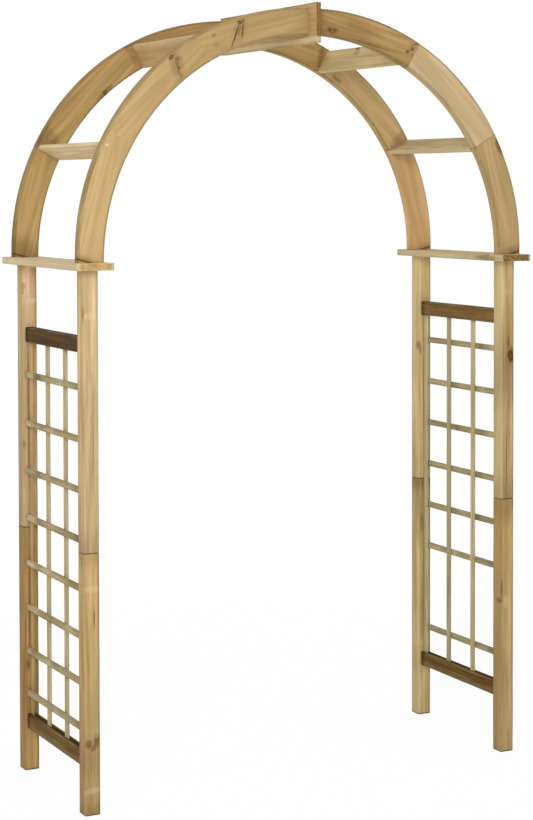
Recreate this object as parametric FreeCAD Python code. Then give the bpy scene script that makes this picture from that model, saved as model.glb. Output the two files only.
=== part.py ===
import FreeCAD, Part
import math
import os

# Garden arch in impregnated pine: four posts, two cap boards, two segmented rings and two trellis sides.
# Millimetres. X runs across the passage, Y from front to back, Z up. Origin: on the ground, centred.

# Posts, each in two lengths joined by a dowel, the shorter length below on the left and above on the right
POST_SIZE = 45.0
POST_EDGE_RADIUS = 4.0
SHORT_POST_LENGTH = 708.0
LONG_POST_LENGTH = 758.0
POST_SPACING_X = 1326.0
POST_SPACING_Y = 472.0
DOWEL_DIAMETER = 16.0
DOWEL_LENGTH = 100.0

# Cap board across each pair of posts
CAP_THICKNESS = 20.0
CAP_SIDE_OVERHANG = 32.5
CAP_END_OVERHANG = 34.5
CAP_CORNER_RADIUS = 9.0
CAP_EDGE_CHAMFER = 2.0

# Rings of the arch, standing on the caps over the posts and wider at half height than at foot and crown
RING_WIDTH = 74.0
RING_SWELL = 8.0
RING_THICKNESS = 28.0
RING_OVERHANG = 7.0
RING_JOINT_ANGLES = (30.0, 60.0)
RING_EDGE_CHAMFER = 1.8

# Rungs between the rings, set along a radius
LEFT_RUNG_ANGLES = (27.0, 62.3)
RIGHT_RUNG_ANGLES = (29.3, 61.9)
RUNG_THICKNESS = 14.0
RUNG_EDGE_CHAMFER = 1.2

# Ridge board on edge between the two halves of the arch
RIDGE_THICKNESS = 16.0
RIDGE_HEIGHT = 113.0
RIDGE_RISE = 14.0
RIDGE_END_OVERHANG = 44.5
RIDGE_EDGE_CHAMFER = 1.5

# Trellis sides: grooved rails, uprights in the grooves, cross laths on their outer face
TRELLIS_HEIGHT = 1075.0
LEFT_RAIL_LIFT = 123.0
RIGHT_RAIL_LIFT = 159.0
RAIL_HEIGHT = 44.0
RAIL_THICKNESS = 28.0
RAIL_EDGE_CHAMFER = 2.0
GROOVE_DEPTH = 9.0
GROOVE_CLEARANCE = 0.2
UPRIGHT_WIDTH = 15.0
CROSS_LATH_WIDTH = 18.0
LATH_THICKNESS = 10.0
LATH_EDGE_CHAMFER = 1.2
UPRIGHT_COUNT = 4
CROSS_LATH_COUNT = 8
ABSENT_LATHS = ("cross_lath_right_2",)

# Spacing of the cross laths: from the rails to the first and last centre, and the growth of the steps upwards
LEFT_LATH_GAPS = (61.0, 93.0)
RIGHT_LATH_GAPS = (79.0, 78.0)
LEFT_STEP_GROWTH = 2.9

# Loose tongues in the ring and rail joints
TONGUE_WIDTH = 24.0
TONGUE_THICKNESS = 8.0
TONGUE_LENGTH = 50.0

# Pegs through the rings into the ends of the rungs, flush with the rings
PEG_DIAMETER = 8.0
PEG_LENGTH = 70.0
PEG_EDGE_DISTANCE = 9.0

# Room around a dowel, tongue or peg in its hole, and past its ends
HOLE_CLEARANCE = 0.15
HOLE_END_CLEARANCE = 0.6

# Worked out from the sizes above
POST_X = POST_SPACING_X / 2
POST_Y = POST_SPACING_Y / 2
CAP_Z = SHORT_POST_LENGTH + LONG_POST_LENGTH
SPRING_Z = CAP_Z + CAP_THICKNESS
CAP_WIDTH = POST_SIZE + 2 * CAP_SIDE_OVERHANG
OUTER_RADIUS = POST_X + RING_WIDTH / 2
INNER_RADIUS = POST_X - RING_WIDTH / 2
RING_OUTER_Y = POST_Y + POST_SIZE / 2 + RING_OVERHANG
RING_INNER_Y = RING_OUTER_Y - RING_THICKNESS
RING_Y = (RING_OUTER_Y + RING_INNER_Y) / 2
FOOT_TONGUE_Y = (POST_Y + POST_SIZE / 2 + RING_INNER_Y) / 2
CAP_LENGTH = 2 * (RING_OUTER_Y + CAP_END_OVERHANG)
RIDGE_LENGTH = 2 * (RING_OUTER_Y + RIDGE_END_OVERHANG)
RIDGE_TOP = SPRING_Z + OUTER_RADIUS + RIDGE_RISE
PEG_RADIUS_ON_ARCH = OUTER_RADIUS - PEG_EDGE_DISTANCE
RAIL_LENGTH = POST_SPACING_Y - POST_SIZE

Y_AXIS = FreeCAD.Vector(0, 1, 0)
Z_AXIS = FreeCAD.Vector(0, 0, 1)
SIDES = {"left": -1, "right": 1}
ENDS = {"front": -1, "rear": 1}
CROWN_ANGLE = 90.0
SLANT_TOLERANCE = 0.1

# What differs from side to side
LOWER_POST_LENGTHS = {"left": SHORT_POST_LENGTH, "right": LONG_POST_LENGTH}
RUNG_ANGLES = {"left": LEFT_RUNG_ANGLES, "right": RIGHT_RUNG_ANGLES}
TRELLIS_LOW = {"left": LEFT_RAIL_LIFT + RAIL_HEIGHT, "right": RIGHT_RAIL_LIFT + RAIL_HEIGHT}
LATH_GAPS = {"left": LEFT_LATH_GAPS, "right": RIGHT_LATH_GAPS}
STEP_GROWTH = {"left": LEFT_STEP_GROWTH, "right": 0.0}


def point(x, y, z):
    return FreeCAD.Vector(x, y, z)


def block(size, centre):
    """A rectangular block about its centre."""
    return Part.makeBox(size.x, size.y, size.z, centre - size * 0.5)


def edges_along(solid, axis):
    return [e for e in solid.Edges if e.tangentAt(e.FirstParameter).cross(axis).Length < SLANT_TOLERANCE]


def eased_board(size, centre, grain, chamfer):
    """A board whose edges along the grain are eased."""
    solid = block(size, centre)
    return solid.makeChamfer(chamfer, edges_along(solid, grain))


def on_arch(side, radius, angle, y):
    """A point of the arch, with the angle measured up from the springing on that side."""
    turn = math.radians(angle)
    return point(side * radius * math.cos(turn), y, SPRING_Z + radius * math.sin(turn))


def turned(solid, side, angle):
    """Turns a solid that was made at the springing height up the arch to an angle."""
    solid.rotate(point(0, 0, SPRING_Z), Y_AXIS, -side * angle)
    return solid


def drilled(solid, holes):
    """Cuts the holes that reach a solid out of it."""
    near = [h for h in holes if solid.BoundBox.intersect(h.BoundBox)]
    return solid.cut(near) if near else solid


# Dowels, tongues and pegs: called with no room they give the piece, and with room its hole
def post_dowels(room=0.0, end_room=0.0):
    """Round dowels in the butt joints of the posts."""
    radius = DOWEL_DIAMETER / 2 + room
    length = DOWEL_LENGTH + 2 * end_room
    made = []
    for side, sx in SIDES.items():
        base = LOWER_POST_LENGTHS[side] - length / 2
        for ey in ENDS.values():
            made.append(Part.makeCylinder(radius, length, point(sx * POST_X, ey * POST_Y, base)))
    return made


def arch_tongues(room=0.0, end_room=0.0):
    """Flat tongues across the ring joints, at the feet through the caps, at the crown through the ridge."""
    size = point(TONGUE_WIDTH + 2 * room, TONGUE_THICKNESS + 2 * room, TONGUE_LENGTH + 2 * end_room)
    made = []
    for ey in ENDS.values():
        for sx in SIDES.values():
            made.append(block(size, point(sx * POST_X, ey * FOOT_TONGUE_Y, SPRING_Z - CAP_THICKNESS / 2)))
            for angle in RING_JOINT_ANGLES:
                made.append(turned(block(size, point(sx * POST_X, ey * RING_Y, SPRING_Z)), sx, angle))
        made.append(turned(block(size, point(POST_X, ey * RING_Y, SPRING_Z)), 1, CROWN_ANGLE))
    return made


def rail_tongues(room=0.0, end_room=0.0):
    """Flat tongues across the butt joints of rails and posts, in the part of the rail that has no groove."""
    size = point(TONGUE_THICKNESS + 2 * room, TONGUE_LENGTH + 2 * end_room, TONGUE_WIDTH + 2 * room)
    behind_groove = (RAIL_HEIGHT + GROOVE_DEPTH) / 2
    return [block(size, point(sx * POST_X, ey * RAIL_LENGTH / 2, TRELLIS_LOW[side] + rise))
            for side, sx in SIDES.items() for ey in ENDS.values()
            for rise in (-behind_groove, TRELLIS_HEIGHT + behind_groove)]


def rung_pegs(room=0.0, end_room=0.0):
    """Round pegs from the outer faces of the rings into the ends of the rungs."""
    return [Part.makeCylinder(PEG_DIAMETER / 2 + room, PEG_LENGTH + end_room,
                              on_arch(sx, PEG_RADIUS_ON_ARCH, angle, ey * RING_OUTER_Y), Y_AXIS * -ey)
            for side, sx in SIDES.items() for ey in ENDS.values() for angle in RUNG_ANGLES[side]]


# Timber pieces
def posts(holes):
    """Each post is a lower and an upper length, butted end to end."""
    made = {}
    for side, sx in SIDES.items():
        joint = LOWER_POST_LENGTHS[side]
        for end, ey in ENDS.items():
            for level, base, top in (("lower", 0.0, joint), ("upper", joint, CAP_Z)):
                centre = point(sx * POST_X, ey * POST_Y, (base + top) / 2)
                solid = block(point(POST_SIZE, POST_SIZE, top - base), centre)
                solid = solid.makeFillet(POST_EDGE_RADIUS, edges_along(solid, Z_AXIS))
                made[f"post_{end}_{side}_{level}"] = drilled(solid, holes)
    return made


def caps(holes):
    """A board over each pair of posts, with rounded corners and eased rims."""
    made = {}
    for side, sx in SIDES.items():
        solid = block(point(CAP_WIDTH, CAP_LENGTH, CAP_THICKNESS),
                      point(sx * POST_X, 0, CAP_Z + CAP_THICKNESS / 2))
        solid = solid.makeFillet(CAP_CORNER_RADIUS, edges_along(solid, Z_AXIS))
        rims = [e for e in solid.Edges if e.BoundBox.ZLength < CAP_THICKNESS / 2]
        made[f"cap_{side}"] = drilled(solid.makeChamfer(CAP_EDGE_CHAMFER, rims), holes)
    return made


def outer_edge(side, angle, y):
    """A point of the outer edge of a ring, which swells at half height."""
    swollen = OUTER_RADIUS + RING_SWELL * math.sin(2 * math.radians(angle))
    return on_arch(side, swollen, angle, y)


def crown_angle(radius):
    """The angle at which a circle of the arch meets the side of the ridge board."""
    return math.degrees(math.acos(RIDGE_THICKNESS / 2 / radius))


def ring_segment(side, low, high, y):
    """A curved board between two angles. With no high it ends upright against the ridge board."""
    high_outer = crown_angle(OUTER_RADIUS) if high is None else high
    high_inner = crown_angle(INNER_RADIUS) if high is None else high
    a = outer_edge(side, low, y)
    b = on_arch(side, OUTER_RADIUS, high_outer, y) if high is None else outer_edge(side, high, y)
    c = on_arch(side, INNER_RADIUS, high_inner, y)
    d = on_arch(side, INNER_RADIUS, low, y)
    outer_middle = outer_edge(side, (low + high_outer) / 2, y)
    inner_middle = on_arch(side, INNER_RADIUS, (low + high_inner) / 2, y)
    outline = Part.Wire([
        Part.Arc(a, outer_middle, b).toShape(),
        Part.LineSegment(b, c).toShape(),
        Part.Arc(c, inner_middle, d).toShape(),
        Part.LineSegment(d, a).toShape(),
    ])
    solid = Part.Face(outline).extrude(Y_AXIS * RING_THICKNESS)
    rims = [e for e in solid.Edges if isinstance(e.Curve, Part.Circle)]
    return solid.makeChamfer(RING_EDGE_CHAMFER, rims)


def rings(holes):
    """Two rings, each of three segments a side: foot, shoulder and crown."""
    first, second = RING_JOINT_ANGLES
    spans = {"foot": (0.0, first), "shoulder": (first, second), "crown": (second, None)}
    made = {}
    for side, sx in SIDES.items():
        for end, ey in ENDS.items():
            for name, (low, high) in spans.items():
                solid = ring_segment(sx, low, high, ey * RING_Y - RING_THICKNESS / 2)
                made[f"ring_{end}_{side}_{name}"] = drilled(solid, holes)
    return made


def rungs(holes):
    """Boards between the rings, as wide as the rings."""
    size = point(RING_WIDTH, 2 * RING_INNER_Y, RUNG_THICKNESS)
    made = {}
    for side, sx in SIDES.items():
        for name, angle in zip(("lower", "upper"), RUNG_ANGLES[side]):
            level = eased_board(size, point(sx * POST_X, 0, SPRING_Z), Y_AXIS, RUNG_EDGE_CHAMFER)
            made[f"rung_{side}_{name}"] = drilled(turned(level, sx, angle), holes)
    return made


def ridge(holes):
    """The board on edge that the four crown segments butt against."""
    size = point(RIDGE_THICKNESS, RIDGE_LENGTH, RIDGE_HEIGHT)
    solid = eased_board(size, point(0, 0, RIDGE_TOP - RIDGE_HEIGHT / 2), Y_AXIS, RIDGE_EDGE_CHAMFER)
    return {"ridge_board": drilled(solid, holes)}


def rails(holes):
    """Top and bottom rail of each trellis, grooved towards the trellis for the uprights."""
    size = point(RAIL_THICKNESS, RAIL_LENGTH, RAIL_HEIGHT)
    groove_size = point(LATH_THICKNESS + 2 * GROOVE_CLEARANCE, RAIL_LENGTH, GROOVE_DEPTH)
    made = {}
    for side, sx in SIDES.items():
        low = TRELLIS_LOW[side]
        for name, face_z, away in (("top", low + TRELLIS_HEIGHT, 1), ("bottom", low, -1)):
            centre = point(sx * POST_X, 0, face_z + away * RAIL_HEIGHT / 2)
            groove = block(groove_size, point(sx * POST_X, 0, face_z + away * GROOVE_DEPTH / 2))
            solid = eased_board(size, centre, Y_AXIS, RAIL_EDGE_CHAMFER).cut(groove)
            made[f"rail_{side}_{name}"] = drilled(solid, holes)
    return made


def uprights():
    """Vertical laths standing in the grooves, the first and last against the posts."""
    size = point(LATH_THICKNESS, UPRIGHT_WIDTH, TRELLIS_HEIGHT + 2 * (GROOVE_DEPTH - GROOVE_CLEARANCE))
    pitch = (RAIL_LENGTH - UPRIGHT_WIDTH) / (UPRIGHT_COUNT - 1)
    made = {}
    for side, sx in SIDES.items():
        for i in range(UPRIGHT_COUNT):
            y = (UPRIGHT_WIDTH - RAIL_LENGTH) / 2 + i * pitch
            centre = point(sx * POST_X, y, TRELLIS_LOW[side] + TRELLIS_HEIGHT / 2)
            made[f"upright_{side}_{i + 1}"] = eased_board(size, centre, Z_AXIS, LATH_EDGE_CHAMFER)
    return made


def cross_laths():
    """Level laths on the outer face of the uprights, counted from the ground up."""
    size = point(LATH_THICKNESS, RAIL_LENGTH, CROSS_LATH_WIDTH)
    steps = CROSS_LATH_COUNT - 1
    made = {}
    for side, sx in SIDES.items():
        gap_below, gap_above = LATH_GAPS[side]
        mean_step = (TRELLIS_HEIGHT - gap_below - gap_above) / steps
        for i in range(CROSS_LATH_COUNT):
            rise = gap_below + i * mean_step - STEP_GROWTH[side] * i * (steps - i) / 2
            centre = point(sx * (POST_X + LATH_THICKNESS), 0, TRELLIS_LOW[side] + rise)
            made[f"cross_lath_{side}_{i + 1}"] = eased_board(size, centre, Y_AXIS, LATH_EDGE_CHAMFER)
    return {name: solid for name, solid in made.items() if name not in ABSENT_LATHS}


def fasteners():
    """Groups of like dowels, tongues and pegs, each group one compound of separate solids."""
    makers = (post_dowels, arch_tongues, rail_tongues, rung_pegs)
    return {maker.__name__: Part.makeCompound(maker()) for maker in makers}


def build():
    room = (HOLE_CLEARANCE, HOLE_END_CLEARANCE)
    dowel_holes = post_dowels(*room)
    arch_slots = arch_tongues(*room)
    rail_slots = rail_tongues(*room)
    peg_holes = rung_pegs(*room)
    made = {}
    made.update(posts(dowel_holes + arch_slots + rail_slots))
    made.update(caps(arch_slots))
    made.update(rings(arch_slots + peg_holes))
    made.update(rungs(peg_holes))
    made.update(ridge(arch_slots))
    made.update(rails(rail_slots))
    made.update(uprights())
    made.update(cross_laths())
    made.update(fasteners())
    return made


def main():
    os.makedirs("parts", exist_ok=True)
    for name, shape in build().items():
        if not shape.isValid():
            raise ValueError(f"{name} is not a valid solid")
        shape.exportStep(os.path.join("parts", f"{name}.step"))


main()
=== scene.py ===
import math
import random
from typing import NamedTuple

import bmesh
import bpy
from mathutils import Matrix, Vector


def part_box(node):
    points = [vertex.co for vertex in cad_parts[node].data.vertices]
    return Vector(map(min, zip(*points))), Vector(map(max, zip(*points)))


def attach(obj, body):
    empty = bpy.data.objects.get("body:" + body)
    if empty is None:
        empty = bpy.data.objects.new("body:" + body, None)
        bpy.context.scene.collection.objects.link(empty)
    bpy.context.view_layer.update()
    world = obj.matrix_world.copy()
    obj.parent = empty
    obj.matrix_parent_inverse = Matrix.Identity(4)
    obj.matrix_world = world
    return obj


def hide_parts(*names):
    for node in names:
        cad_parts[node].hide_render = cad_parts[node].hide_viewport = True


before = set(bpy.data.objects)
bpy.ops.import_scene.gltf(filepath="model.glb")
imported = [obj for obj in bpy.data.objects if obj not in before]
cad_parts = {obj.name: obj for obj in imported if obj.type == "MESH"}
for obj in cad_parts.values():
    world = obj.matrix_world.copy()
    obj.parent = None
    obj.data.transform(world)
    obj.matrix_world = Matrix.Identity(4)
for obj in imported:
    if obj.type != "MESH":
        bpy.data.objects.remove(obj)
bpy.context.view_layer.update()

# Garden arch in impregnated pine, dressed around its frame. Metres, +Z up, front towards -Y.

# The photograph's frame in pixels, and the camera that was fitted to it
IMAGE_HEIGHT = 820
FOCAL_PIXELS = 1980.9
LENS_AXIS_ROW = 250
SENSOR_MM = 36.0
CAMERA_PLACE = Vector((-2.6152, -5.1717, 1.6933))
CAMERA_YAW = math.radians(26.76)
CAMERA_PITCH = math.radians(-1.893)
CAMERA_ROLL = math.radians(-0.116)
CAMERA_REACH = 60.0

# Studio: even white surroundings and one large soft lamp at the upper front left
WHITE = (1.0, 1.0, 1.0, 1.0)
AMBIENT = 0.68
LAMP_PLACE = Vector((-3.5, -5.2, 3.2))
LAMP_TARGET = Vector((-0.2, 0.0, 1.2))
LAMP_SIZE = 2.4
LAMP_POWER = 165.0
FLOOR_RADIUS = 4.0
FLOOR_SIDES = 96
FLOOR_FADE = 1.2
FLOOR_SHOWN_LIGHT = 0.955
FLOOR_TONES = ("F2F1EE", "F7F6F4")
FLOOR_GRIT = (90.0, 90.0, 90.0)

# Skins lie this far inside the frame's solids, so that no two faces of neighbours share a plane
SKIN_GAP = 0.0002
END_GAP = 0.00025
TIGHT_GAP = 0.00003

# Detail of a board: eased ends, the stained stretch beside a joint, the strip along an edge, worn pale and
# darkened partly by weathering and partly as painted shade
END_EASE = 0.0012
TIGHT_EASE = 0.00004
JOINT_BAND = 0.0028
WEAR_AND_SHADE_BAND = 0.005
WEAR_AND_SHADE_SHARE = 0.4
CLEAN_WEAR = 0.25
# The groove of a rail takes half of the dark edge band, so it renders darker
GROOVE_DARK = 0.5
CORNER_STAIN = 0.5
CORNER_STEPS = 5
# Painted shade on the outer rim face of the left rings; close to 1 it also wears the rim pale
RIM_SHADE_AND_WEAR = {"front": 0.72, "rear": 0.92}
EDGE_STEPS = 3
STATION_STEP = 0.03
ARC_STEP = 0.012
WAVE_DEPTH = 0.00025
WAVE_LENGTH = 0.21
BOARD_SHARP = math.radians(40)

# Edge radii of the timbers, and the half width and depth of the groove of the rails
POST_RADIUS = 0.004
CAP_RADIUS = 0.0025
CAP_CORNER = 0.009
RING_RADIUS = 0.0022
RUNG_RADIUS = 0.0016
RIDGE_RADIUS = 0.002
RAIL_RADIUS = 0.0035
LATH_RADIUS = 0.0015
RAIL_GROOVE = (0.0054, 0.009)

# Nails at the crossings of the laths
NAIL_RADIUS = 0.0019
NAIL_HEIGHT = 0.0007
NAIL_DOME = 0.85
NAIL_SIDES = 12
NAIL_RINGS = 3
NAIL_SHARP = math.radians(50)

X = Vector((1, 0, 0))
Y = Vector((0, 1, 0))
Z = Vector((0, 0, 1))


# Sizes of the arch that more than one piece needs, read from the frame
def size_of(node, axis):
    """Size of a node of the frame along "x", "y" or "z"."""
    low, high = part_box(node)
    return getattr(high, axis) - getattr(low, axis)


def spans(node, axes):
    """Lowest and highest reach of a node of the frame along each of some axes."""
    places = [v.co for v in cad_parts[node].data.vertices]
    return [(min(a.dot(p) for p in places), max(a.dot(p) for p in places)) for a in axes]


SPRING_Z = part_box("cap_left")[1].z
OUTER_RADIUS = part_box("ring_front_right_foot")[1].x
MEAN_RADIUS = sum(c.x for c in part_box("post_front_right_upper")) / 2
RING_WIDTH = 2 * (OUTER_RADIUS - MEAN_RADIUS)
RING_JOINTS = (30.0, 60.0)
RING_TOP = 90.0
SHOULDER_REACH = max(math.hypot(v.co.x, v.co.z - SPRING_Z)
                     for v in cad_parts["ring_front_right_shoulder"].data.vertices)
RING_SWELL = SHOULDER_REACH - OUTER_RADIUS
SEGMENT_LENGTH = MEAN_RADIUS * math.radians(RING_JOINTS[0])
SEGMENT_HALF = MEAN_RADIUS * math.sin(math.radians(RING_JOINTS[0] / 2))
RIDGE_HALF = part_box("ridge_board")[1].x
POST_HALF = size_of("post_front_left_lower", "x") / 2
POST_PLACE = sum(c.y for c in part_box("post_rear_left_lower")) / 2
SHORT_POST_HALF = size_of("post_front_left_lower", "z") / 2
LONG_POST_HALF = size_of("post_front_left_upper", "z") / 2
CAP_HALF = size_of("cap_left", "z") / 2
CAP_HALF_WIDTH = size_of("cap_left", "x") / 2
CAP_HALF_LENGTH = size_of("cap_left", "y") / 2
RAIL_HALF_WIDTH = size_of("rail_left_top", "x") / 2
RAIL_HALF_HEIGHT = size_of("rail_left_top", "z") / 2


def rung_axes(node):
    """Directions along, across and through a rung. Across points away from the rings' middle."""
    low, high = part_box(node)
    centre = (low + high) / 2 - Vector((0, 0, SPRING_Z))
    outward = Vector((centre.x, 0, centre.z)).normalized()
    return Y, outward, outward.cross(Y)


RUNG_INNER, RUNG_OUTER = spans("rung_left_upper", rung_axes("rung_left_upper"))[1]
RUNG_HALF = (RUNG_OUTER - RUNG_INNER) / 2

# Colours of the timber by tone, and what late wood, green stain, edges and sawn ends make of them
TONES = {
    "pale": "DDC095", "cream": "D8C49B", "tan": "CFAF7C", "pink": "CFA776", "olive": "BC9C66",
    "brown": "AC8959", "grey": "C9B48A", "straw": "CDB682", "lath": "C8BB94", "slat": "B5A882",
    "rail": "5C4723", "umber": "7A6036", "bark": "7A5C28", "honey": "D8BB90", "hazel": "AC8E5E",
    "sand": "D2BE8F", "ivory": "DCCAA8", "wheat": "D9BE8D",
}
LATE_WOOD = (0.62, 0.52, 0.40)
GREEN_TINT = (0.64, 0.69, 0.56)
# Tint of the dark edge band: partly weathering, partly painted shade of the rounded edges
EDGE_WEATHER_AND_SHADE = (0.44, 0.45, 0.33)
SAWN_END = (0.68, 0.52, 0.34)

# Colours that all timber shares
WORN_EDGE = "DECFA8"
JOINT_STAIN = "46331C"
PALE_SPOT = "E0CDA2"
# Darkens real smears and cracks, and also paints shade and shadows where pieces meet
SMUDGE_AND_SHADE = "7C6440"
KNOT_RIM = "4E3A1E"
KNOT_CORE = ("58401E", "7C5A2E")

# Colours and noise of the joinery and the nails
HIDDEN_WOOD = ("CBB083", "A98B5C")
PEG_WOOD = ("BF9A63", "A9834E")
FRESH_PEG = "E0CBA2"
FRESH_START = 0.5
FRESH_FULL = 0.7
PEG_STAIN = "A98F62"
PEG_FIBRE = (420.0, 60.0, 420.0)
PEG_BLOTCH = (35.0, 12.0, 35.0)
NAIL_TONES = ("8E8C84", "B5B2A8")
NAIL_RUST = "7A5B3C"
NAIL_SPANGLE = (900.0, 900.0, 900.0)
RUST_PATCHES = (220.0, 220.0, 220.0)
NAIL_METAL = 0.7

# Noise drawn out along the grain: ripples per metre along and across it, and their detail
PATTERNS = {
    "wobble": (2.4, 14.0, 2.0),
    "fading": (1.7, 11.0, 2.0),
    "broad": (1.4, 30.0, 2.0),
    "streak": (4.5, 85.0, 3.0),
    "green": (2.1, 34.0, 3.0),
    "cloud": (8.0, 22.0, 3.0),
    "fibre": (9.0, 330.0, 4.0),
    "hair": (34.0, 1400.0, 2.0),
    "ragged": (130.0, 190.0, 3.0),
    "drawn out": (9.0, 150.0, 4.0),
}
PATTERN_SHIFTS = {"streak": (7.3, 2.2, 4.1), "green": (3.1, 5.7, 1.9)}

# What chance may give a piece: its pith, its noise, its rings and its green
PITH_REACH = (0.03, 0.09)
PITH_LEAN = 0.025
SEED_REACH = 9.0
RING_SPACING = (0.0055, 0.0095)
GREEN_RANGE = (0.7, 1.2)

# How far, in rings, noise and knots bend the grain, and the gloss and bumps of surfaces
RING_WOBBLE = 3.0
KNOT_BEND = 1.6
GLOSS = 0.1
BUMP_STRENGTH = 0.3
PINE_BUMP = 0.0006
PEG_BUMP = 0.0004


def colour(code):
    """A display colour written in hex, as linear red, green, blue and alpha."""
    parts = [int(code[i:i + 2], 16) / 255 for i in (0, 2, 4)]
    return tuple(((p + 0.055) / 1.055) ** 2.4 for p in parts) + (1.0,)


def tinted(base, tint):
    """A linear colour multiplied by a tint."""
    return [b * t for b, t in zip(base, tint)] + [1.0]


# Shader nodes
class Graph:
    """Short ways to add nodes to a tree and to link them."""

    def __init__(self, tree):
        self.tree = tree

    def node(self, kind, settings=None, **inputs):
        made = self.tree.nodes.new(kind)
        for key, value in (settings or {}).items():
            setattr(made, key, value)
        for key, value in inputs.items():
            self.feed(made.inputs[key.replace("_", " ")], value)
        return made

    def feed(self, socket, value):
        if isinstance(value, bpy.types.NodeSocket):
            self.tree.links.new(value, socket)
        else:
            socket.default_value = value

    def feed_all(self, sockets, values):
        for socket, value in zip(sockets, values):
            self.feed(socket, value)

    def calc(self, operation, *values, clamp=False):
        made = self.node("ShaderNodeMath", {"operation": operation, "use_clamp": clamp})
        self.feed_all(made.inputs, values)
        return made.outputs[0]

    def product(self, first, second):
        return self.calc("MULTIPLY", first, second)

    def line(self, value, slope, start):
        return self.calc("MULTIPLY_ADD", value, slope, start)

    def centred(self, noise, width):
        """Noise round a half, turned into noise of some width round 0."""
        return self.line(noise, width, -width / 2)

    def varied(self, noise, width):
        """Noise round a half, turned into noise of some width round 1."""
        return self.line(noise, width, 1 - width / 2)

    def vector(self, operation, *values, output="Vector"):
        made = self.node("ShaderNodeVectorMath", {"operation": operation})
        self.feed_all(made.inputs, values)
        return made.outputs[output]

    def step(self, value, low, high, at_low=0.0, at_high=1.0):
        made = self.node("ShaderNodeMapRange", {"interpolation_type": "SMOOTHSTEP"})
        self.feed_all(made.inputs, (value, low, high, at_low, at_high))
        return made.outputs[0]

    def scaled(self, value, factor):
        made = self.node("ShaderNodeVectorMath", {"operation": "SCALE"}, Scale=factor)
        self.feed(made.inputs[0], value)
        return made.outputs[0]

    def mix(self, share, first, second, mode="MIX"):
        made = self.node("ShaderNodeMix", {"data_type": "RGBA", "blend_type": mode})
        self.feed_all((made.inputs[0], made.inputs[6], made.inputs[7]), (share, first, second))
        return made.outputs[2]

    def noise(self, place, stretch, detail=2.0):
        made = self.node("ShaderNodeTexNoise", Scale=1.0, Detail=detail)
        self.feed(made.inputs["Vector"], self.vector("MULTIPLY", place, stretch))
        return made.outputs["Factor"] if "Factor" in made.outputs else made.outputs["Fac"]

    def pattern(self, name, place):
        along, across, detail = PATTERNS[name]
        if name in PATTERN_SHIFTS:
            place = self.vector("ADD", place, PATTERN_SHIFTS[name])
        return self.noise(place, (along, across, across), detail)

    def attribute(self, name, output):
        return self.node("ShaderNodeAttribute", {"attribute_name": name}).outputs[output]


def new_group(name, inputs, outputs):
    """An empty node group with sockets given as {kind: names}, and its graph, entry and exit."""
    tree = bpy.data.node_groups.new(name, "ShaderNodeTree")
    for way, sockets in (("INPUT", inputs), ("OUTPUT", outputs)):
        for kind, keys in sockets.items():
            for key in keys:
                tree.interface.new_socket(key, in_out=way, socket_type="NodeSocket" + kind)
    graph = Graph(tree)
    return tree, graph, graph.node("NodeGroupInput").outputs, graph.node("NodeGroupOutput").inputs


def new_material(name):
    """A new material, with its graph and its shader."""
    material = bpy.data.materials.new(name)
    material.use_nodes = True
    return material, Graph(material.node_tree), material.node_tree.nodes["Principled BSDF"]


def bumpy_surface(g, shader, base, roughness, height, distance):
    """Feeds a shader with a colour, a roughness and bumps up to some distance high."""
    bump = g.node("ShaderNodeBump", Strength=BUMP_STRENGTH, Distance=distance, Height=height)
    sockets = [shader.inputs[key] for key in ("Base Color", "Roughness", "Normal")]
    g.feed_all(sockets, (base, roughness, bump.outputs[0]))


def knot_group():
    """A knot, crack or mark: how deep inside it a point lies, its rim, and how far it bends the grain."""
    inputs = {"Vector": ("Centre", "Closeness"), "Float": ("Lean", "Depth", "Drawn Out", "Ragged")}
    tree, g, start, end = new_group("knot", inputs, {"Float": ("Core", "Rim", "Bend")})
    grain = g.attribute("grain", "Vector")
    parts = g.node("ShaderNodeSeparateXYZ", Vector=g.vector("SUBTRACT", grain, start["Centre"])).outputs
    along = g.calc("SUBTRACT", parts[0], g.product(parts[1], start["Lean"]))
    leaned = g.node("ShaderNodeCombineXYZ", X=along, Y=parts[1], Z=parts[2]).outputs[0]
    far = g.vector("LENGTH", g.vector("MULTIPLY", leaned, start["Closeness"]), output="Value")

    ragged = g.centred(g.pattern("ragged", grain), 1.1)
    drawn_out = g.centred(g.pattern("drawn out", grain), 1.6)
    ragged = g.line(g.calc("SUBTRACT", drawn_out, ragged), start["Drawn Out"], ragged)
    far = g.line(ragged, start["Ragged"], far)

    core = g.step(far, 0.3, 1.1, 1.0, 0.0)
    rim = g.product(g.step(far, 0.5, 0.9), g.step(far, 0.95, 1.5, 1.0, 0.0))
    g.feed(end["Core"], g.product(core, start["Depth"]))
    g.feed(end["Rim"], g.product(rim, start["Depth"]))
    g.feed(end["Bend"], g.step(far, 0.4, 3.6, 1.0, 0.0))
    return tree


def growth_rings(g, start, grain, along, place):
    """Share of late wood at a point: rings round a pith, bent by knots, each of a strength of its own."""
    pith = g.vector("ADD", start["Pith"], g.scaled(start["Pith Lean"], along))
    away = g.vector("MULTIPLY", g.vector("SUBTRACT", grain, pith), (0.0, 1.0, 1.0))
    wobble = g.calc("SUBTRACT", g.pattern("wobble", place), 0.5)
    count = g.calc("DIVIDE", g.vector("LENGTH", away, output="Value"), start["Ring Width"])
    count = g.line(wobble, RING_WOBBLE, count)
    count = g.line(start["Bend"], KNOT_BEND, count)

    in_ring = g.calc("FRACT", count)
    slow_rise = g.step(in_ring, 0.1, 0.8)
    quick_fall = g.step(in_ring, 0.84, 1.0, 1.0, 0.0)
    ring_kind = g.node("ShaderNodeTexWhiteNoise", {"noise_dimensions": "1D"}, W=g.calc("FLOOR", count))
    strength = g.line(ring_kind.outputs[0], 0.8, 0.2)
    fading = g.step(g.pattern("fading", place), 0.32, 0.66, 0.3, 1.0)
    return g.product(g.product(g.product(slow_rise, quick_fall), strength), fading)


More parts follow.
